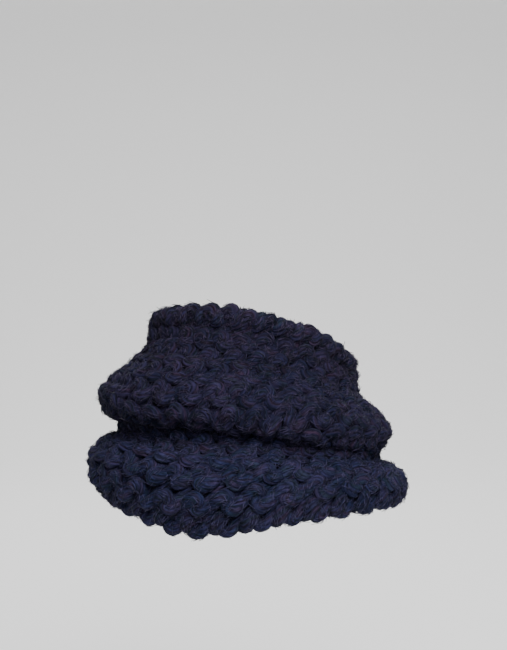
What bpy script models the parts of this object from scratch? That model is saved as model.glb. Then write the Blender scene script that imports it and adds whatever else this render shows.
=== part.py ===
"""A bulky knitted neck warmer in the shape that it takes when it is worn.

It is one tube of knitting in three tiers: a lower drape over the shoulders, a fold that hangs
over it, and a collar that leans forward. A rolled edge closes each end of the tube.
The wearer faces -Y with the left side at +X. The origin is the middle of the neck opening,
level with the shoulders. The constants and tables are in millimetres and the model in metres.
"""

import math

import bpy
import numpy as np

MM = 0.001
WALL = 13.0
SEAM = 0.3

STITCHES_ROUND = 32
MESH_COLUMNS = 2 * STITCHES_ROUND
MESH_ROWS_PER_LINE = 2
INSIDE_ROW_STEP = 2
WALE_LEAN = math.radians(35.0)

EDGE_WIDTH = 14.0
EDGE_HEIGHT = 9.6
EDGE_SIDES = 8
EDGE_RISE = 1.2
EDGE_GAP = 0.5

SPLINE_STEPS = 16

YARN_COLOUR = (0.012, 0.014, 0.030, 1.0)
YARN_ROUGHNESS = 0.9
EDGE_SHADE = 0.9

# Each row is a ring round the middle of the cloth, from the hem up to the rim.
# Its plan is an ellipse, and the last eight columns are its heights round the wearer.
RING_COLUMNS = (
    "name", "off_x", "off_y", "half_width", "half_depth",
    "left", "back_left", "back", "back_right", "right", "front_right", "front", "front_left",
)
RINGS = (
    ("hem",             -6,   1, 111, 104,    8,    8,   -3,    9,    8,    0,   -6,   -1),
    ("lower_belly",     -1,   2, 119, 111,   21,   23,   15,   17,   14,    8,    4,    9),
    ("lower_top",       -1,   0, 116, 107,   32,   38,   36,   29,   22,   15,   14,   22),
    ("lower_shoulder",   1,  -2, 109,  99,   36,   44,   46,   39,   26,   18,   21,   29),
    ("tuck_in",          0,  -4, 102,  90,   40,   46,   49,   40,   26,   18,   23,   31),
    ("tuck_low",        -1,  -5,  95,  82,   44,   51,   54,   43,   30,   23,   28,   36),
    ("tuck_back",       -1,  -6,  93,  80,   51,   59,   61,   51,   36,   30,   36,   43),
    ("tuck_high",       -1,  -6,  95,  82,   59,   65,   68,   58,   43,   37,   42,   50),
    ("fold_under",       0,  -6,  99,  87,   61,   68,   71,   60,   46,   40,   45,   53),
    ("fold_lip",         1,  -6, 103,  93,   62,   70,   73,   63,   49,   42,   47,   54),
    ("fold_belly",       3,  -6, 109, 101,   70,   79,   81,   71,   56,   48,   56,   63),
    ("fold_top",         7,  -9, 104,  97,   78,   88,   94,   84,   66,   57,   65,   72),
    ("flare",            6, -14,  92,  88,   87,   99,  108,   95,   72,   62,   73,   79),
    ("waist",            3, -20,  77,  77,   96,  114,  121,  104,   78,   69,   81,   87),
    ("collar",           1, -23,  74,  76,  105,  128,  135,  118,   90,   80,   89,   95),
    ("rim",              3, -26,  73,  75,  115,  142,  149,  137,  108,   94,  101,  105),
)

# A stretch of the tube: its name, first and last rings, lines of purl bumps, and shade.
STRETCHES = (
    ("lower_drape", "hem", "tuck_in", 8, 1.2),
    ("middle_fold", "tuck_in", "waist", 11, 1.0),
    ("collar", "waist", "rim", 3, 0.9),
)


def clear_scene():
    for old in list(bpy.data.objects):
        bpy.data.objects.remove(old, do_unlink=True)


def yarn_material(name, shade):
    """Soft dark yarn, a little lighter or darker by its shade."""
    material = bpy.data.materials.new(name)
    material.use_nodes = True
    shader = material.node_tree.nodes["Principled BSDF"]
    red, green, blue, alpha = YARN_COLOUR
    shader.inputs["Base Color"].default_value = (red * shade, green * shade, blue * shade, alpha)
    shader.inputs["Roughness"].default_value = YARN_ROUGHNESS
    shader.inputs["Metallic"].default_value = 0.0
    return material


def ring_index(name):
    return [row[0] for row in RINGS].index(name)


def between(a, b, c, d, t):
    """Catmull-Rom: a point t of the way from b to c, with a before them and d after them."""
    return b + 0.5 * t * (c - a + t * (2 * a - 5 * b + 4 * c - d + t * (3 * (b - c) + d - a)))


def eased(a, b, c, d, t):
    """Cubic B-spline: from near b to near c, pulled towards a and d, with no sudden bend."""
    rest = 1 - t
    near_b = 3 * t ** 3 - 6 * t ** 2 + 4
    near_c = 3 * rest ** 3 - 6 * rest ** 2 + 4
    return (rest ** 3 * a + near_b * b + near_c * c + t ** 3 * d) / 6


def ring_points(row, angles):
    """Points of one ring at the given angles, counted from the wearer's left over the back."""
    sizes = dict(zip(RING_COLUMNS, row))
    heights = np.array(row[RING_COLUMNS.index("left"):], float)
    place = angles / (2 * math.pi) * len(heights)
    step = np.floor(place).astype(int)
    nearby = [heights[(step + shift) % len(heights)] for shift in (-1, 0, 1, 2)]
    up = between(*nearby, place - step)
    x = sizes["off_x"] + sizes["half_width"] * np.cos(angles)
    y = sizes["off_y"] + sizes["half_depth"] * np.sin(angles)
    return np.stack([x, y, up], axis=-1)


def smooth_along(rings):
    """A smooth surface along the rings, SPLINE_STEPS steps from each to the next."""
    first = 2 * rings[0] - rings[1]
    last = 2 * rings[-1] - rings[-2]
    padded = [first, *rings, last]
    surface = []
    for four in zip(padded, padded[1:], padded[2:], padded[3:]):
        surface += [eased(*four, step / SPLINE_STEPS) for step in range(SPLINE_STEPS)]
    surface.append(rings[-1])
    return np.array(surface)


def even_rows(surface, rows, trim_start=0.0, trim_end=0.0):
    """Rows at even distances along the cloth, less what is trimmed off at either end."""
    steps = np.linalg.norm(np.diff(surface, axis=0), axis=2)
    around = surface.shape[1]
    travelled = np.vstack([np.zeros((1, around)), np.cumsum(steps, axis=0)])
    result = np.empty((rows + 1, around, 3))
    for column in range(around):
        places = np.linspace(trim_start, travelled[-1, column] - trim_end, rows + 1)
        for axis in range(3):
            result[:, column, axis] = np.interp(
                places, travelled[:, column], surface[:, column, axis]
            )
    return result


def directions(grid):
    """Unit vectors out of the cloth, and up it square to the ring, at each point of the grid."""
    round_way = np.roll(grid, -1, axis=1) - np.roll(grid, 1, axis=1)
    round_way /= np.linalg.norm(round_way, axis=2, keepdims=True)
    out = np.cross(round_way, np.gradient(grid, axis=0))
    out /= np.linalg.norm(out, axis=2, keepdims=True)
    return out, np.cross(out, round_way)


def leaning_angles(height_share):
    """The grid's columns follow the wales, which lean round the wearer as they rise."""
    columns = np.arange(MESH_COLUMNS)
    return columns * 2 * math.pi / MESH_COLUMNS + WALE_LEAN * height_share


def add_solid(name, points, faces, material):
    mesh = bpy.data.meshes.new(name)
    mesh.from_pydata((points * MM).tolist(), [], faces)
    mesh.materials.append(material)
    mesh.shade_smooth()
    solid = bpy.data.objects.new(name, mesh)
    bpy.context.scene.collection.objects.link(solid)
    return solid


def strip_faces(lower, upper):
    """Quads from one closed row of point numbers to the next."""
    count = len(lower)
    return [
        (lower[i], lower[(i + 1) % count], upper[(i + 1) % count], upper[i])
        for i in range(count)
    ]


def add_wall(name, middle, out, material):
    """A wall of cloth round its middle, with fewer rows inside than out, closed at both ends."""
    outer = middle + out * (WALL / 2)
    inner = (middle - out * (WALL / 2))[::-INSIDE_ROW_STEP]
    points = np.concatenate([outer, inner])
    numbers = np.arange(points.size // 3).reshape(points.shape[:2]).tolist()
    faces = []
    for lower, upper in zip(numbers, numbers[1:]):
        faces += strip_faces(lower, upper)
    # Each twisted quad at the lower end starts one corner on, so that its diagonal is that
    # of the wall below it and the seam between them stays even.
    for quad in strip_faces(numbers[-1], numbers[0]):
        faces.append(quad[1:] + quad[:1])
    return add_solid(name, points.reshape(-1, 3), faces, material)


def add_edge(name, middle, out, up_way, material):
    """A rolled edge: an eight-sided ring, a little thicker at the middle of each stitch."""
    swell = np.where(np.arange(MESH_COLUMNS) % 2 == 0, EDGE_RISE, 0.0)
    loops = []
    for side in range(EDGE_SIDES):
        turn = 2 * math.pi * (side + 0.5) / EDGE_SIDES
        across = (EDGE_WIDTH / 2 + swell) * math.cos(turn)
        along = (EDGE_HEIGHT / 2) * math.sin(turn)
        loops.append(middle + out * across[:, None] + up_way * along)
    numbers = np.arange(EDGE_SIDES * MESH_COLUMNS).reshape(EDGE_SIDES, -1).tolist()
    faces = []
    for this_side, next_side in zip(numbers, numbers[1:] + numbers[:1]):
        faces += strip_faces(this_side, next_side)
    return add_solid(name, np.concatenate(loops), faces, material)


def build():
    clear_scene()
    last = len(RINGS) - 1
    rings = [ring_points(row, leaning_angles(i / last)) for i, row in enumerate(RINGS)]
    surface = smooth_along(rings)
    edge_reach = EDGE_HEIGHT / 2 * math.cos(math.pi / EDGE_SIDES) + EDGE_GAP

    # Every row of the tube is laid out first, so that neighbours share their directions.
    tube_rows = []
    for _, from_ring, to_ring, lines, _ in STRETCHES:
        start = ring_index(from_ring) * SPLINE_STEPS
        end = ring_index(to_ring) * SPLINE_STEPS
        trim_start = edge_reach if from_ring == "hem" else 0.0
        trim_end = edge_reach if to_ring == "rim" else 0.0
        rows = lines * MESH_ROWS_PER_LINE
        laid_out = even_rows(surface[start:end + 1], rows, trim_start, trim_end)
        tube_rows += list(laid_out[1:] if tube_rows else laid_out)
    tube = np.array(tube_rows)
    out, up_way = directions(tube)

    first = 0
    for name, from_ring, to_ring, lines, shade in STRETCHES:
        end = first + lines * MESH_ROWS_PER_LINE
        middle = tube[first:end + 1].copy()
        if from_ring == "hem":
            middle[0] = rings[0] + up_way[0] * edge_reach
        else:
            middle[0] += up_way[first] * SEAM / 2
        if to_ring == "rim":
            middle[-1] = rings[-1] - up_way[-1] * edge_reach
        else:
            middle[-1] -= up_way[end] * SEAM / 2
        add_wall(name, middle, out[first:end + 1], yarn_material(name + "_yarn", shade))
        first = end

    edge_material = yarn_material("edge_yarn", EDGE_SHADE)
    add_edge("cast_on_edge", rings[0], out[0], up_way[0], edge_material)
    add_edge("bound_off_edge", rings[-1], out[-1], up_way[-1], edge_material)


build()
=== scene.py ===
"""A bulky knitted neck warmer, in the shape that it takes when it is worn.

It is one tube of stocking stitch, purl side out, with a cast-on hem and a bound-off rim.
It slouches into three tiers. Sizes of the knitting are in millimetres, and those of the studio
and the camera in metres.
"""

import math

import bpy
import numpy as np
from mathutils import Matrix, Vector


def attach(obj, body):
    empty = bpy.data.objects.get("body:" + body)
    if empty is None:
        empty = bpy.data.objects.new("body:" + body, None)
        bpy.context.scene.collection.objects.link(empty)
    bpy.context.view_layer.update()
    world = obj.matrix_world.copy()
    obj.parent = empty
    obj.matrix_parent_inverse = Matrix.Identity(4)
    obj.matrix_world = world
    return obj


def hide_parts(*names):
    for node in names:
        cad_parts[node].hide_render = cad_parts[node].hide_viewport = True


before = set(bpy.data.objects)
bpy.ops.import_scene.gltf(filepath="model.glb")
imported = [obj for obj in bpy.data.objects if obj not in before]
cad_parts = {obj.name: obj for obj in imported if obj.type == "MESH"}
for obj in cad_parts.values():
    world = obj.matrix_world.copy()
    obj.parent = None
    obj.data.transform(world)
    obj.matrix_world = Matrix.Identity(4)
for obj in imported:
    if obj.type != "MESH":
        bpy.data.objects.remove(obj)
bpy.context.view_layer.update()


# The cloth of the tube
# The real piece is one seamless tube of knitting, which slouches when it is worn.
# It spreads at its foot, folds back under itself once, and narrows to a leaning collar.
# Each row is a ring round the middle of the cloth: an ellipse, and its heights round the wearer.
RING_COLUMNS = (
    "name", "off_x", "off_y", "half_width", "half_depth",
    "left", "back_left", "back", "back_right", "right", "front_right", "front", "front_left",
)
RINGS = (
    ("hem",             -6,   1, 111, 104,    8,    8,   -3,    9,    8,    0,   -6,   -1),
    ("lower_belly",     -1,   2, 119, 111,   21,   23,   15,   17,   14,    8,    4,    9),
    ("lower_top",       -1,   0, 116, 107,   32,   38,   36,   29,   22,   15,   14,   22),
    ("lower_shoulder",   1,  -2, 109,  99,   36,   44,   46,   39,   26,   18,   21,   29),
    ("tuck_in",          0,  -4, 102,  90,   40,   46,   49,   40,   26,   18,   23,   31),
    ("tuck_low",        -1,  -5,  95,  82,   44,   51,   54,   43,   30,   23,   28,   36),
    ("tuck_back",       -1,  -6,  93,  80,   51,   59,   61,   51,   36,   30,   36,   43),
    ("tuck_high",       -1,  -6,  95,  82,   59,   65,   68,   58,   43,   37,   42,   50),
    ("fold_under",       0,  -6,  99,  87,   61,   68,   71,   60,   46,   40,   45,   53),
    ("fold_lip",         1,  -6, 103,  93,   62,   70,   73,   63,   49,   42,   47,   54),
    ("fold_belly",       3,  -6, 109, 101,   70,   79,   81,   71,   56,   48,   56,   63),
    ("fold_top",         7,  -9, 104,  97,   78,   88,   94,   84,   66,   57,   65,   72),
    ("flare",            6, -14,  92,  88,   87,   99,  108,   95,   72,   62,   73,   79),
    ("waist",            3, -20,  77,  77,   96,  114,  121,  104,   78,   69,   81,   87),
    ("collar",           1, -23,  74,  76,  105,  128,  135,  118,   90,   80,   89,   95),
    ("rim",              3, -26,  73,  75,  115,  142,  149,  137,  108,   94,  101,  105),
)

# A row is one line of purl bumps, and a wale is one column of stitches.
STITCHES_ROUND = 32
KNITTED_ROWS = 22
WALE_LEAN = math.radians(35.0)
STEPS_BETWEEN_RINGS = 16
TURN_STEPS = 256
STEPS_PER_ROW = 6


def between(a, b, c, d, t):
    """Catmull-Rom: a point t of the way from b to c, with a before them and d after them."""
    return b + 0.5 * t * (c - a + t * (2 * a - 5 * b + 4 * c - d + t * (3 * (b - c) + d - a)))


def eased(a, b, c, d, t):
    """Cubic B-spline: from near b to near c, pulled towards a and d, with no sudden bend."""
    rest = 1 - t
    near_b = 3 * t ** 3 - 6 * t ** 2 + 4
    near_c = 3 * rest ** 3 - 6 * rest ** 2 + 4
    return (rest ** 3 * a + near_b * b + near_c * c + t ** 3 * d) / 6


def ring_points(row):
    """Points round one ring, counted from the wearer's left over the back."""
    sizes = dict(zip(RING_COLUMNS, row))
    heights = np.array(row[RING_COLUMNS.index("left"):], float)
    turn = np.arange(TURN_STEPS) / TURN_STEPS
    place = turn * len(heights)
    step = np.floor(place).astype(int)
    nearby = [heights[(step + shift) % len(heights)] for shift in (-1, 0, 1, 2)]
    x = sizes["off_x"] + sizes["half_width"] * np.cos(2 * math.pi * turn)
    y = sizes["off_y"] + sizes["half_depth"] * np.sin(2 * math.pi * turn)
    return np.stack([x, y, between(*nearby, place - step)], axis=-1)


def cloth_middle():
    """The cloth's middle, in rows at even distances along it, from the hem up to the rim."""
    rings = [ring_points(row) for row in RINGS]
    padded = [2 * rings[0] - rings[1], *rings, 2 * rings[-1] - rings[-2]]
    surface = []
    for four in zip(padded, padded[1:], padded[2:], padded[3:]):
        surface += [eased(*four, s / STEPS_BETWEEN_RINGS) for s in range(STEPS_BETWEEN_RINGS)]
    surface = np.array(surface + [rings[-1]])
    steps = np.linalg.norm(np.diff(surface, axis=0), axis=2)
    travelled = np.vstack([np.zeros((1, TURN_STEPS)), np.cumsum(steps, axis=0)])
    rows = np.empty((KNITTED_ROWS * STEPS_PER_ROW + 1, TURN_STEPS, 3))
    for column in range(TURN_STEPS):
        places = np.linspace(0, travelled[-1, column], len(rows))
        for axis in range(3):
            rows[:, column, axis] = np.interp(
                places, travelled[:, column], surface[:, column, axis]
            )
    return rows


CLOTH = cloth_middle()
ROUND_WAY = np.roll(CLOTH, -1, axis=1) - np.roll(CLOTH, 1, axis=1)
CLOTH_OUT = np.cross(ROUND_WAY, np.gradient(CLOTH, axis=0))
CLOTH_OUT /= np.linalg.norm(CLOTH_OUT, axis=2, keepdims=True)


def looked_up(table, stitch, row):
    """The table's value at a place on the cloth, in stitches round it and rows up it."""
    height = np.clip(row, 0, KNITTED_ROWS) * STEPS_PER_ROW
    turn = (stitch / STITCHES_ROUND + WALE_LEAN / (2 * math.pi) * row / KNITTED_ROWS) * TURN_STEPS
    low = np.minimum(np.floor(height).astype(int), len(table) - 2)
    first = np.floor(turn).astype(int)
    up_share = (height - low)[..., None]
    turn_share = (turn - first)[..., None]
    here, after = first % TURN_STEPS, (first + 1) % TURN_STEPS
    lower = table[low, here] * (1 - turn_share) + table[low, after] * turn_share
    upper = table[low + 1, here] * (1 - turn_share) + table[low + 1, after] * turn_share
    return lower * (1 - up_share) + upper * up_share


def on_cloth(stitch, row, out):
    """Points at places on the cloth, moved out from its middle, and the way out there.

    Past the hem and the rim the cloth goes on straight.
    """
    points = looked_up(CLOTH, stitch, row)
    way_out = looked_up(CLOTH_OUT, stitch, row)
    way_out /= np.linalg.norm(way_out, axis=-1, keepdims=True)
    edge = np.clip(row, 0, KNITTED_ROWS)
    inner = np.clip(row, 0.5, KNITTED_ROWS - 0.5)
    slope = looked_up(CLOTH, stitch, inner + 0.5) - looked_up(CLOTH, stitch, inner - 0.5)
    points = points + slope * (row - edge)[..., None] + way_out * out[..., None]
    return points, way_out


# Yarn of the knitted rows
# The real yarn is soft bulky wool of several plies, twisted together and about 9 mm thick.
# It is knitted in stocking stitch and worn purl side out: arched heads and hanging loops stand
# forward by turns, half a stitch apart, and the legs that join them lie behind.
MM = 0.001
YARN_RADIUS = 4.6
YARN_FLATNESS = 0.94
YARN_BREADTH = 1.08
YARN_SIDES = 16
RADIUS_WANDER = 0.07
RADIUS_SMOOTHING = 60
PLY_PITCH = 36.0
PLY_COUNT = 4
PLY_VALLEY = 0.84
PLY_SWELL = 0.22
PLY_ROUNDNESS = 0.8

# A loop's depths are in millimetres, its reach and heights in rows, and its leans in stitches.
LOOP_FRONT = 3.0
LEG_BACK = 5.0
LOOP_REACH = 1.62
LOOP_LEAN = 0.075
LOOP_SLANT = 0.08
LOOP_SQUARENESS = 0.8
FRONT_SQUARENESS = 0.55
FRONT_BIAS = 0.40
COURSE_HEIGHT = 1.89
HEM_HEIGHT = 1.5
POINTS_PER_STITCH = 34
LOOP_SMOOTHING = 2

# How far a stitch strays from its neighbours, and how often that is smoothed along the row.
STRAYING = {
    "shift": (0.09, 1),
    "reach": (0.12, 0),
    "lift": (0.11, 2),
    "proud": (1.0, 1),
    "slant": (0.05, 2),
}

noise = np.random.default_rng(7)


def wander(count, size, smooth):
    """Random values on a closed ring, smoothed over a few neighbours."""
    values = noise.normal(0.0, 1.0, count)
    for _ in range(smooth):
        values = (np.roll(values, 1) + 2 * values + np.roll(values, -1)) / 4
    return values / values.std() * size


def squared(wave, squareness):
    """A wave with longer crests and troughs."""
    return np.sign(wave) * np.abs(wave) ** squareness


def stitch_row(height):
    """The path of one row of loops, round the whole tube: place round, place up, and depth."""
    share = np.arange(POINTS_PER_STITCH) / POINTS_PER_STITCH
    wave = (np.cos(4 * math.pi * share) + FRONT_BIAS) / (1 + FRONT_BIAS)
    wave = squared(wave, FRONT_SQUARENESS)
    depth = np.where(wave > 0, LOOP_FRONT, LEG_BACK) * wave
    climb = -squared(np.cos(2 * math.pi * share), LOOP_SQUARENESS)
    lean = LOOP_LEAN * np.sin(4 * math.pi * share)
    rise = (1 + climb) / 2
    blend = share * share * (3 - 2 * share)
    strays = [wander(STITCHES_ROUND, size, smooth) for size, smooth in STRAYING.values()]
    shift, reach, lift, proud, slant = strays
    places = []
    for stitch in range(STITCHES_ROUND):
        after = (stitch + 1) % STITCHES_ROUND
        here = shift[stitch] * (1 - blend) + shift[after] * blend
        up = lift[stitch] * (1 - blend) + lift[after] * blend
        places.append(np.stack([
            stitch + share + lean + (LOOP_SLANT + slant[stitch]) * climb + here,
            height + up + LOOP_REACH * climb + reach[stitch] * rise,
            depth + proud[stitch] * rise,
        ], axis=-1))
    return np.concatenate(places)


def smoothed(path, times):
    for _ in range(times):
        path = (np.roll(path, 1, axis=0) + 2 * path + np.roll(path, -1, axis=0)) / 4
    return path


def ply_turns(middle):
    """How often the plies have turned by each point of a closed path, and by its end."""
    lengths = np.linalg.norm(np.roll(middle, -1, axis=0) - middle, axis=1)
    travelled = np.concatenate([[0.0], np.cumsum(lengths)])
    return travelled / travelled[-1] * max(1, round(travelled[-1] / PLY_PITCH))


def yarn_rings(path, way_out, radius):
    """Rings of points round a closed path, swelling over each ply, with the way out as top."""
    along = np.roll(path, -1, axis=0) - np.roll(path, 1, axis=0)
    along /= np.linalg.norm(along, axis=1, keepdims=True)
    top = way_out - along * np.sum(way_out * along, axis=1, keepdims=True)
    top /= np.linalg.norm(top, axis=1, keepdims=True)
    side = np.cross(along, top)
    angle = np.arange(YARN_SIDES) * 2 * math.pi / YARN_SIDES + math.pi
    rim = (
        YARN_FLATNESS * np.cos(angle)[None, :, None] * top[:, None]
        + YARN_BREADTH * np.sin(angle)[None, :, None] * side[:, None]
    )
    winding = ply_turns(path)[:-1, None] - np.arange(YARN_SIDES) / YARN_SIDES
    bulge = np.abs(np.sin(math.pi * PLY_COUNT * winding)) ** PLY_ROUNDNESS
    swell = PLY_VALLEY + PLY_SWELL * bulge
    return path[:, None] + rim * (radius[:, None] * swell)[..., None]


def riding_mesh(name, points, faces):
    """A smooth piece from points in millimetres, and faces with the same number of corners."""
    mesh = bpy.data.meshes.new(name)
    mesh.vertices.add(len(points))
    mesh.vertices.foreach_set("co", (points * MM).ravel())
    mesh.loops.add(faces.size)
    mesh.loops.foreach_set("vertex_index", faces.ravel())
    mesh.polygons.add(len(faces))
    mesh.polygons.foreach_set("loop_start", np.arange(len(faces)) * faces.shape[1])
    mesh.update(calc_edges=True)
    mesh.shade_smooth()
    piece = bpy.data.objects.new(name, mesh)
    bpy.context.scene.collection.objects.link(piece)
    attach(piece, "root")
    return piece


def add_yarn(name, strands, material):
    """One mesh of closed strands of yarn, each a list of rings, mapped by ply turns and angle."""
    points, faces, uvs = [], [], []
    start = 0
    for rings in strands:
        count = len(rings)
        turns = ply_turns(rings.mean(axis=1))
        ring, side = np.meshgrid(np.arange(count), np.arange(YARN_SIDES), indexing="ij")
        next_ring, next_side = (ring + 1) % count, (side + 1) % YARN_SIDES
        corners = [(ring, side), (ring, next_side), (next_ring, next_side), (next_ring, side)]
        quads = np.stack([start + r * YARN_SIDES + s for r, s in corners], axis=-1)
        low, high = turns[ring], turns[ring + 1]
        left, right = side / YARN_SIDES, (side + 1) / YARN_SIDES
        mapped = [(low, left), (low, right), (high, right), (high, left)]
        points.append(rings.reshape(-1, 3))
        faces.append(quads.reshape(-1, 4))
        uvs.append(np.stack([np.stack(place, -1) for place in mapped], axis=2).reshape(-1, 2))
        start += count * YARN_SIDES
    piece = riding_mesh(name, np.concatenate(points), np.concatenate(faces))
    places = piece.data.uv_layers.new(name="yarn")
    places.data.foreach_set("uv", np.concatenate(uvs).ravel())
    piece.data.materials.append(material)
    return piece


def new_group(name, inputs, outputs):
    """A shader node group with the named number inputs and outputs."""
    group = bpy.data.node_groups.new(name, "ShaderNodeTree")
    for label in inputs:
        group.interface.new_socket(label, in_out="INPUT", socket_type="NodeSocketFloat")
    for label in outputs:
        group.interface.new_socket(label, in_out="OUTPUT", socket_type="NodeSocketFloat")
    return group, group.nodes.new("NodeGroupInput"), group.nodes.new("NodeGroupOutput")


def joined(tree, kind, *links, **settings):
    """A node with its settings, and what feeds its inputs: (input, socket or value)."""
    node = tree.nodes.new(kind)
    for key, value in settings.items():
        setattr(node, key, value)
    for key, value in links:
        if isinstance(value, bpy.types.NodeSocket):
            tree.links.new(value, node.inputs[key])
        else:
            node.inputs[key].default_value = value
    return node


def math_node(tree, operation, first, second=0.0):
    node = joined(tree, "ShaderNodeMath", (0, first), (1, second), operation=operation)
    return node.outputs[0]


def noise_node(tree, place, scale, detail, roughness=0.5):
    """Noise at a place, finer with its scale and richer with its detail."""
    node = joined(
        tree, "ShaderNodeTexNoise", ("Vector", place), ("Scale", scale), ("Detail", detail),
        ("Roughness", roughness),
    )
    return node.outputs[0]


# How fine the wool's patterns are, and how much of the yarn's relief each of them makes.
PLY_WAVER = 0.5
PLY_WAVER_SCALE = 140.0
STREAKS_ACROSS = 2.4
STREAKS_ALONG = 9.0
DYE_ACROSS = 0.45
DYE_SCALE = 2.0
DYE_LAYER = 7.0
FIBRE_SCALE = 900.0
SHADE_SCALE = 45.0
PLY_RELIEF = 0.55
STREAK_RELIEF = 1.3
FIBRE_RELIEF = 0.25
RELIEF_DEPTH = 1.1


def plied_yarn_group():
    """Plies that wind round the yarn, streaks along them, and shade and hue that wander."""
    group, given, result = new_group(
        "plied_yarn", ["Plies"], ["Height", "Groove", "Streaks", "Shade", "Hue"]
    )
    yarn_place = joined(group, "ShaderNodeUVMap", uv_map="yarn")
    yarn_place = joined(group, "ShaderNodeSeparateXYZ", (0, yarn_place.outputs[0]))
    turns, angle = yarn_place.outputs[0], yarn_place.outputs[1]
    solid = joined(group, "ShaderNodeTexCoord").outputs["Object"]

    waver = noise_node(group, solid, PLY_WAVER_SCALE, 1.0)
    waver = math_node(group, "MULTIPLY", waver, PLY_WAVER)
    plies = math_node(group, "SUBTRACT", turns, angle)
    plies = math_node(group, "MULTIPLY", plies, given.outputs["Plies"])
    plies = math_node(group, "ADD", plies, waver)
    wave = math_node(group, "SINE", math_node(group, "MULTIPLY", plies, math.pi))
    crest = math_node(group, "ABSOLUTE", wave)

    across = math_node(group, "MULTIPLY", plies, STREAKS_ACROSS)
    along = math_node(group, "MULTIPLY", turns, STREAKS_ALONG)
    flow = joined(group, "ShaderNodeCombineXYZ", (0, across), (1, along))
    streaks = noise_node(group, flow.outputs[0], 1.0, 3.0, 0.6)
    dyed = math_node(group, "MULTIPLY", plies, DYE_ACROSS)
    dye_place = joined(group, "ShaderNodeCombineXYZ", (0, dyed), (1, turns), (2, DYE_LAYER))
    hue = noise_node(group, dye_place.outputs[0], DYE_SCALE, 2.0)
    fibre = noise_node(group, solid, FIBRE_SCALE, 2.0)
    shade = noise_node(group, solid, SHADE_SCALE, 2.0)

    height = math_node(group, "MULTIPLY", crest, PLY_RELIEF)
    for pattern, relief in ((streaks, STREAK_RELIEF), (fibre, FIBRE_RELIEF)):
        raised = math_node(group, "MULTIPLY", pattern, relief)
        height = math_node(group, "ADD", height, raised)
    found = {"Height": height, "Groove": crest, "Streaks": streaks, "Shade": shade, "Hue": hue}
    for label, socket in found.items():
        group.links.new(socket, result.inputs[label])
    return group


PLIED_YARN = plied_yarn_group()


def new_material(name):
    """A material, its node tree, and its Principled shader."""
    material = bpy.data.materials.new(name)
    material.use_nodes = True
    return material, material.node_tree, material.node_tree.nodes["Principled BSDF"]


def scaled(colour, red, green, blue):
    """A colour with each of its parts multiplied."""
    return (colour[0] * red, colour[1] * green, colour[2] * blue)


def ramp(tree, value, first, last, *middle):
    """The colour that belongs to a value, from colours given as (position, colour)."""
    node = joined(tree, "ShaderNodeValToRGB", (0, value))
    stops = node.color_ramp.elements
    for stop, (position, colour) in zip(stops, (first, last)):
        stop.color = (*colour, 1.0)
        stop.position = position
    for position, colour in middle:
        stops.new(position).color = (*colour, 1.0)
    return node.outputs[0]


def multiplied(tree, first, second):
    """One colour multiplied by another, and free to grow brighter than white."""
    node = joined(
        tree, "ShaderNodeMix", (0, 1.0), (6, first), (7, second),
        data_type="RGBA", blend_type="MULTIPLY", clamp_result=False,
    )
    return node.outputs[2]


def yarn_material(name, colour):
    """Matt dyed wool: darker between its plies as painted shade, and streaked along them
    with painted highlights, changing in hue.

    Each ply of the mesh is shaded as two thinner ones.
    """
    material, tree, shader = new_material(name)
    yarn = joined(tree, "ShaderNodeGroup", ("Plies", 2.0 * PLY_COUNT), node_tree=PLIED_YARN)
    # Painted shade in the grooves between the plies, and a little painted highlight on their
    # crests.
    painted_groove_shade = ramp(
        tree, yarn.outputs["Groove"],
        (0.05, scaled(colour, 0.62, 0.62, 0.60)), (0.60, scaled(colour, 1.1, 1.1, 1.1)),
    )
    # Fibre streaks along the plies, whose pale parts are painted highlights.
    streaks = ramp(
        tree, yarn.outputs["Streaks"], (0.34, (0.36, 0.36, 0.38)), (0.70, (2.6, 2.5, 2.45))
    )
    shade = ramp(
        tree, yarn.outputs["Shade"], (0.35, (0.58, 0.72, 0.80)), (0.65, (1.28, 1.13, 1.18))
    )
    green, purple, blue = (0.80, 1.11, 0.86), (1.24, 0.94, 0.88), (0.90, 0.97, 1.17)
    dye = ramp(tree, yarn.outputs["Hue"], (0.36, green), (0.66, purple), (0.48, blue))
    dyed = painted_groove_shade
    for pattern in (streaks, shade, dye):
        dyed = multiplied(tree, dyed, pattern)
    tree.links.new(dyed, shader.inputs["Base Color"])
    bump = joined(
        tree, "ShaderNodeBump", ("Height", yarn.outputs["Height"]), ("Strength", 0.9),
        ("Distance", RELIEF_DEPTH * MM),
    )
    tree.links.new(bump.outputs[0], shader.inputs["Normal"])
    shader.inputs["Roughness"].default_value = 0.82
    shader.inputs["Specular IOR Level"].default_value = 0.05
    shader.inputs["Sheen Weight"].default_value = 0.02
    shader.inputs["Sheen Roughness"].default_value = 0.45
    shader.inputs["Sheen Tint"].default_value = (0.35, 0.40, 0.85, 1.0)
    return material


# The strands of each tier are kept for the loose fibres that lie on them.
strands_of_tier = {"drape": [], "fold": [], "collar": []}


def knitted_rows(name, first, last, tier, material):
    """The rows from first up to but not including last, as one piece."""
    strands = []
    for course in range(first, last):
        places = stitch_row(COURSE_HEIGHT * course + HEM_HEIGHT)
        path, way_out = on_cloth(places[:, 0], places[:, 1], places[:, 2])
        path = smoothed(path, LOOP_SMOOTHING)
        radius = YARN_RADIUS * (1 + wander(len(path), RADIUS_WANDER, RADIUS_SMOOTHING))
        strands.append(yarn_rings(path, way_out, radius))
    strands_of_tier[tier] += strands
    return add_yarn(name, strands, material)


# The lower tier is dyed a little bluer and greener, and the upper two more violet.
# The lower tier is also lighter and the upper two darker: painted light and shade on one wool.
WOOL = {
    "drape": (0.0079, 0.0081, 0.0189),
    "fold": (0.0068, 0.0060, 0.0138),
    "collar": (0.0066, 0.0056, 0.0122),
}
wool_of_tier = {tier: yarn_material(tier + "_yarn", colour) for tier, colour in WOOL.items()}

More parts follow.
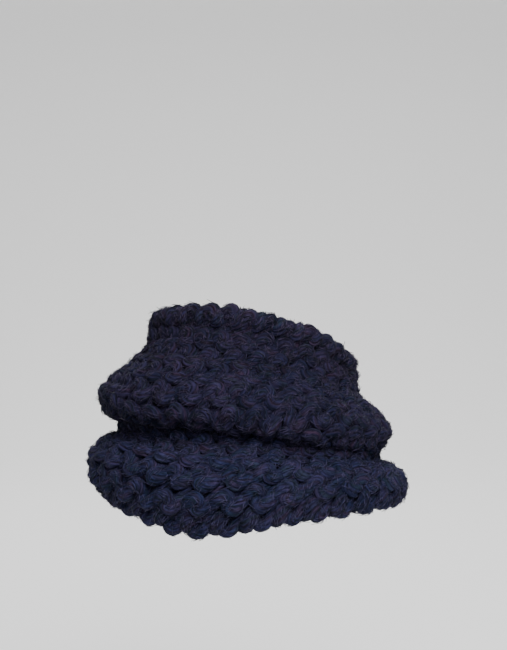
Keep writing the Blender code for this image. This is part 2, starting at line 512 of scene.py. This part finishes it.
ROW_GROUPS = (
    ("drape_rows_lower", 0, 2, "drape", "lower_drape"),
    ("drape_rows_upper", 2, 4, "drape", None),
    ("fold_rows_lower", 4, 7, "fold", "middle_fold"),
    ("fold_rows_upper", 7, 9, "fold", None),
    ("collar_rows", 9, 11, "collar", "collar"),
)
for name, first, last, tier, node in ROW_GROUPS:
    rows = knitted_rows(name, first, last, tier, wool_of_tier[tier])
    if node:
        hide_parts(node)


# Cast-on and bound-off edges
# At the real hem the cast-on yarn wraps round the edge once a stitch, between the first loops.
# At the real rim the bound-off yarn does the same, so that both edges look rolled.
EDGE_YARN_RADIUS = 4.5
EDGE_HALF_WIDTH = 3.6
EDGE_RADIUS_WANDER = 0.06
EDGE_LEAN = 0.10
EDGE_STRAYING = 0.08
EDGE_SMOOTHING = 6


def wrapped_edge(row, half_height, front_at):
    """One strand that winds round the edge of the cloth, in front once in every stitch."""
    count = STITCHES_ROUND * POINTS_PER_STITCH
    stitch = np.arange(count) / POINTS_PER_STITCH
    angle = 2 * math.pi * (stitch - front_at)
    row = row + np.repeat(wander(STITCHES_ROUND, EDGE_STRAYING, 1), POINTS_PER_STITCH)
    path, way_out = on_cloth(
        stitch - EDGE_LEAN * np.sin(angle),
        row + half_height * np.sin(angle),
        EDGE_HALF_WIDTH * np.cos(angle),
    )
    radius = EDGE_YARN_RADIUS * (1 + wander(count, EDGE_RADIUS_WANDER, RADIUS_SMOOTHING))
    return yarn_rings(smoothed(path, EDGE_SMOOTHING), way_out, radius)


edge_yarn = yarn_material("edge_yarn", (0.0066, 0.0062, 0.0142))
hem_strand = wrapped_edge(row=0.70, half_height=0.65, front_at=0.55)
strands_of_tier["drape"].append(hem_strand)
cast_on = add_yarn("cast_on_yarn", [hem_strand], edge_yarn)
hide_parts("cast_on_edge")

rim_strand = wrapped_edge(row=21.60, half_height=0.45, front_at=0.05)
strands_of_tier["collar"].append(rim_strand)
bound_off = add_yarn("bound_off_yarn", [rim_strand], edge_yarn)
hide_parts("bound_off_edge")


# Matted fibres between the loops
# In the real cloth the loose wool of each loop felts with its neighbours and shuts the gaps.
# That web follows the whole tube as one thin soft sheet, and its darker colour is painted shade in
# the hollows.
WEB_THICKNESS = 2.0
WEB_DEPTH = -3.2
WEB_FROM_ROW = -0.1
WEB_TO_ROW = KNITTED_ROWS - 0.3
WEB_STEPS_PER_ROW = 3
WEB_STEPS_PER_STITCH = 4
WEB_RELIEF_DEPTH = 1.0


def web_of_fibres():
    """A thin closed wall of cloth just behind the middle of the tube."""
    height, place = np.meshgrid(
        np.linspace(WEB_FROM_ROW, WEB_TO_ROW, KNITTED_ROWS * WEB_STEPS_PER_ROW + 1),
        np.arange(STITCHES_ROUND * WEB_STEPS_PER_STITCH) / WEB_STEPS_PER_STITCH,
        indexing="ij",
    )
    outside, _ = on_cloth(place, height, np.full(place.shape, WEB_DEPTH + WEB_THICKNESS / 2))
    inside, _ = on_cloth(place, height, np.full(place.shape, WEB_DEPTH - WEB_THICKNESS / 2))
    points = np.concatenate([outside, inside[::-1]])
    numbers = np.arange(points.size // 3).reshape(points.shape[:2])
    faces = []
    for lower, upper in zip(numbers, np.roll(numbers, -1, axis=0)):
        faces.append(np.stack([lower, np.roll(lower, -1), np.roll(upper, -1), upper], axis=-1))
    return riding_mesh("fibre_web", points.reshape(-1, 3), np.concatenate(faces))


def web_shade_material():
    """Felted wool, darker than the yarn as painted shade, mottled and rough."""
    material, tree, shader = new_material("matted_fibres_shade")
    solid = joined(tree, "ShaderNodeTexCoord").outputs["Object"]
    mats = noise_node(tree, solid, 420.0, 4.0)
    # Painted shade: mostly darker than the yarn, for the shade in the gaps between the loops.
    dark, pale = (0.0052, 0.0052, 0.0088), (0.0110, 0.0112, 0.0205)
    tree.links.new(ramp(tree, mats, (0.35, dark), (0.70, pale)), shader.inputs["Base Color"])
    bump = joined(tree, "ShaderNodeBump", ("Height", mats), ("Distance", WEB_RELIEF_DEPTH * MM))
    tree.links.new(bump.outputs[0], shader.inputs["Normal"])
    shader.inputs["Roughness"].default_value = 0.95
    shader.inputs["Specular IOR Level"].default_value = 0.1
    return material


web = web_of_fibres()
web.data.materials.append(web_shade_material())


# Loose fibres
# The real yarn is softly spun, and a short nap of loose fibres stands off every loop.
# It blurs the edges of the loops, and its paler fibres are painted highlights: fine pale streaks
# along them.
FIBRES_IN_TIER = {"drape": 11500, "fold": 13500, "collar": 7500}
FIBRE_RADIUS = 0.27
FIBRE_LENGTHS = (4.0, 9.5)
FIBRE_LEAN = 0.35
FIBRE_LEAN_SPREAD = 0.32

# The root, middle and tip of a fibre: its width there, and how far it lifts off the yarn.
# Where the cube of a tip's flight is large, the fibre stands well clear of the loop.
FIBRE_WIDTHS = (0.5, 1.0, 0.4)
ROOT_LIFT = (-0.4, 0.2)
MIDDLE_LIFT = (0.15, 0.6)
TIP_LIFT = (-0.2, 0.8)
TIP_FLIGHT = (-0.3, 1.15)
CORNER_TURN = 0.5


def fibre_places(strands, count):
    """Random places on the outer half of the yarn, and the ways along it and out of it there."""
    strand = noise.integers(0, len(strands), count)
    ring = noise.integers(0, strands.shape[1], count)
    side = noise.integers(YARN_SIDES // 4, 3 * YARN_SIDES // 4 + 1, count)
    places = strands[strand, ring, side]
    middle = strands[strand, ring].mean(axis=1)
    along = strands[strand, (ring + 2) % strands.shape[1]].mean(axis=1) - middle
    along /= np.linalg.norm(along, axis=1, keepdims=True)
    out = places - middle
    out -= along * np.sum(out * along, axis=1, keepdims=True)
    out /= np.linalg.norm(out, axis=1, keepdims=True)
    return places, along, out


def fibre_points(places, along, out):
    """Three points round each fibre at its root, middle and tip, with its middle at its place."""
    count = len(places)
    lean = noise.normal(FIBRE_LEAN, FIBRE_LEAN_SPREAD, count)[:, None]
    way = np.cos(lean) * along + np.sin(lean) * np.cross(out, along)
    length = noise.uniform(*FIBRE_LENGTHS, count)[:, None]
    lifts = (
        noise.uniform(*ROOT_LIFT, count),
        noise.uniform(*MIDDLE_LIFT, count),
        noise.uniform(*TIP_FLIGHT, count) ** 3 + noise.uniform(*TIP_LIFT, count),
    )
    points = []
    for share, lift, width in zip((-0.5, 0.0, 0.5), lifts, FIBRE_WIDTHS):
        spine = places + way * length * share + out * lift[:, None]
        for corner in range(3):
            angle = CORNER_TURN + corner * 2 * math.pi / 3
            offset = out * math.cos(angle) + np.cross(way, out) * math.sin(angle)
            points.append(spine + offset * FIBRE_RADIUS * width)
    return np.stack(points, axis=1)


def loose_fibres(tier, count):
    """Short three-sided hairs that lie along the loops of one tier and lift off them."""
    points = fibre_points(*fibre_places(np.array(strands_of_tier[tier]), count))
    triangles = [(0, 2, 1), (6, 7, 8)]
    for low in (0, 3):
        for i in range(3):
            j = (i + 1) % 3
            triangles += [(low + i, low + j, low + 3 + j), (low + i, low + 3 + j, low + 3 + i)]
    first_points = np.arange(count) * points.shape[1]
    faces = first_points[:, None, None] + np.array(triangles)[None]
    return riding_mesh(tier + "_fibres", points.reshape(-1, 3), faces.reshape(-1, 3))


def fibre_material(name, colour):
    """Thin wool fibres, some dark, some pale as painted highlights, hue changing from place to
    place.
    """
    material, tree, shader = new_material(name)
    solid = joined(tree, "ShaderNodeTexCoord").outputs["Object"]
    # Painted highlights: the pale fibres are about four times as bright as the wool they lie on.
    dark, pale = scaled(colour, 0.4, 0.62, 0.5), scaled(colour, 4.2, 3.7, 3.8)
    fibre_tone_and_highlights = ramp(tree, noise_node(tree, solid, 260.0, 2.0), (0.38, dark), (0.62, pale))
    tree.links.new(fibre_tone_and_highlights, shader.inputs["Base Color"])
    shader.inputs["Roughness"].default_value = 0.7
    shader.inputs["Specular IOR Level"].default_value = 0.15
    return material


for tier, colour in WOOL.items():
    hairs = loose_fibres(tier, FIBRES_IN_TIER[tier])
    hairs.data.materials.append(fibre_material(tier + "_fibre_wool", colour))


# Studio
# A plain pale floor runs up into a plain backdrop behind the piece.
# Three soft lights stand near the camera, above the piece and in front of it, in a pale room.
CAMERA_AZIMUTH = 200.0
FLOOR_DROP = 0.30
FLOOR_NEAR = -3.0
FLOOR_FAR = 1.6
BACKDROP_BEND = 0.8
BACKDROP_BEND_STEPS = 16
BACKDROP_TOP = 4.0
BACKDROP_HALF_WIDTH = 4.0
LIGHTS_LOOK_AT = (0.0, -0.01, 0.07)


def floor_and_backdrop():
    """A sheet of pale paper that lies flat, bends up and stands, square to the camera."""
    profile = [(FLOOR_NEAR, 0.0), (FLOOR_FAR, 0.0)]
    for t in np.linspace(0, math.pi / 2, BACKDROP_BEND_STEPS + 1)[1:]:
        distance = FLOOR_FAR + BACKDROP_BEND * math.sin(t)
        profile.append((distance, BACKDROP_BEND - BACKDROP_BEND * math.cos(t)))
    profile.append((FLOOR_FAR + BACKDROP_BEND, BACKDROP_TOP))
    turn = math.radians(CAMERA_AZIMUTH)
    away = Vector((-math.sin(turn), math.cos(turn), 0.0))
    side = Vector((math.cos(turn), math.sin(turn), 0.0))
    points = []
    for distance, height in profile:
        for across in (-BACKDROP_HALF_WIDTH, BACKDROP_HALF_WIDTH):
            points.append(away * distance + side * across + Vector((0, 0, height - FLOOR_DROP)))
    faces = [(2 * i, 2 * i + 1, 2 * i + 3, 2 * i + 2) for i in range(len(profile) - 1)]
    mesh = bpy.data.meshes.new("backdrop")
    mesh.from_pydata([tuple(p) for p in points], [], faces)
    mesh.shade_smooth()
    material, _, paper = new_material("backdrop_paper")
    paper.inputs["Base Color"].default_value = (0.94, 0.94, 0.94, 1.0)
    paper.inputs["Roughness"].default_value = 0.9
    mesh.materials.append(material)
    backdrop = bpy.data.objects.new("backdrop", mesh)
    bpy.context.scene.collection.objects.link(backdrop)


floor_and_backdrop()


def soft_light(name, azimuth, elevation, distance, size, power):
    """A square light that looks at the piece from an azimuth and an elevation in degrees."""
    a, e = math.radians(azimuth), math.radians(elevation)
    away = Vector((math.sin(a) * math.cos(e), -math.cos(a) * math.cos(e), math.sin(e)))
    light = bpy.data.lights.new(name, "AREA")
    light.size = size
    light.energy = power
    lamp = bpy.data.objects.new(name, light)
    lamp.location = Vector(LIGHTS_LOOK_AT) + away * distance
    lamp.rotation_mode = "QUATERNION"
    lamp.rotation_quaternion = (-away).to_track_quat("-Z", "Y")
    bpy.context.scene.collection.objects.link(lamp)


soft_light("key_light", azimuth=210, elevation=36, distance=0.8, size=0.45, power=13)
soft_light("top_light", azimuth=20, elevation=75, distance=2.2, size=1.6, power=18)
soft_light("front_light", azimuth=20, elevation=42, distance=2.0, size=1.2, power=30)

world = bpy.data.worlds.new("studio")
world.use_nodes = True
world.node_tree.nodes["Background"].inputs["Color"].default_value = (1.0, 1.0, 1.0, 1.0)
world.node_tree.nodes["Background"].inputs["Strength"].default_value = 0.52
bpy.context.scene.world = world


# Camera
# It looks at the wearer's back, a little from the left and a little from above.
# The origin, in the middle of the neck opening, falls on its own pixel, and the scale holds there.
CAMERA_ELEVATION = 7.0
CAMERA_DISTANCE = 1.6
FRAME_PIXELS = (507, 650)
ORIGIN_PIXEL = (245.0, 497.0)
METRES_PER_PIXEL = 0.00077
SENSOR_WIDTH = 36.0

turn, rise = math.radians(CAMERA_AZIMUTH), math.radians(CAMERA_ELEVATION)
back = Vector((math.sin(turn) * math.cos(rise), -math.cos(turn) * math.cos(rise), math.sin(rise)))
right = Vector((math.cos(turn), math.sin(turn), 0.0))
up = right.cross(-back)
camera = bpy.data.objects.new("camera", bpy.data.cameras.new("camera"))
camera.data.sensor_fit = "AUTO"
camera.data.sensor_width = SENSOR_WIDTH
camera.data.lens = SENSOR_WIDTH * CAMERA_DISTANCE / (FRAME_PIXELS[1] * METRES_PER_PIXEL)
camera.data.clip_start = 0.05
camera.data.clip_end = 50.0
camera.location = (
    back * CAMERA_DISTANCE
    + right * ((FRAME_PIXELS[0] / 2 - ORIGIN_PIXEL[0]) * METRES_PER_PIXEL)
    + up * ((ORIGIN_PIXEL[1] - FRAME_PIXELS[1] / 2) * METRES_PER_PIXEL)
)
camera.rotation_mode = "QUATERNION"
camera.rotation_quaternion = (-back).to_track_quat("-Z", "Y")
bpy.context.scene.collection.objects.link(camera)
bpy.context.scene.camera = camera
